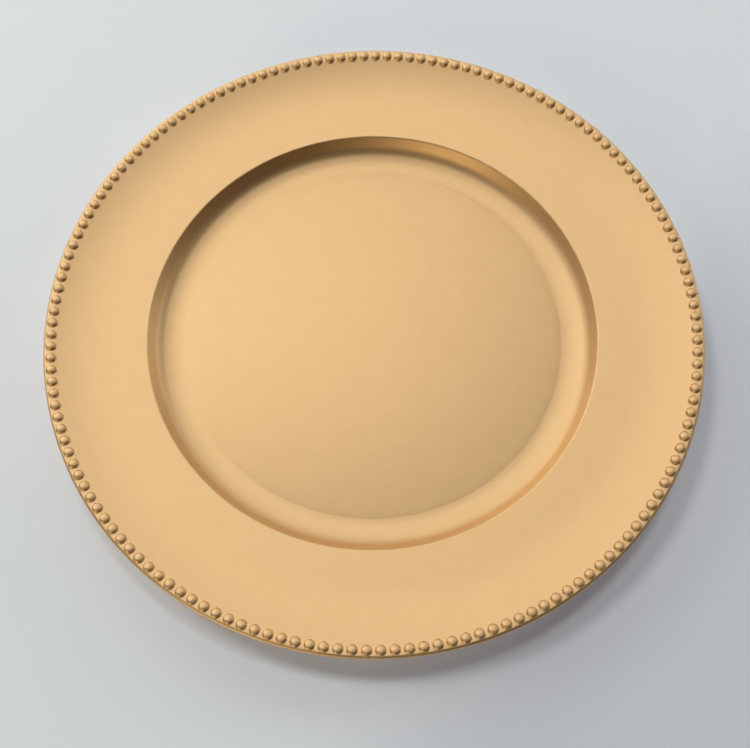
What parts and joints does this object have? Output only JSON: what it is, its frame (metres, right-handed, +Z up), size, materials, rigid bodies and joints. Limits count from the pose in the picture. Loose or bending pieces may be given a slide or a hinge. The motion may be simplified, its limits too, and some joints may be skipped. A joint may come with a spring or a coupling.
{
  "type": "charger plate",
  "caption": "Round charger plate with a broad upturned rim, a row of half-round beads at the edge, and a shallow coved well on a low foot ring.",
  "frame": {"origin": "centre of the standing face, at the bottom of the foot ring, on the plate's axis", "axes": "+Z up along the plate's axis, +X towards the first bead"},
  "size_m": [0.33, 0.33, 0.0235],
  "materials": {
    "gold_lacquer": "satin metallic gold lacquer on a moulded plate, with a very fine grain"
  },
  "bodies": {
    "root": {"floor_panel": "gold_lacquer", "well_verge": "gold_lacquer", "well_wall": "gold_lacquer", "rim": "gold_lacquer", "edge_lip": "gold_lacquer", "bead_border": "gold_lacquer", "foot_ring": "gold_lacquer"}
  },
  "joints": []
}
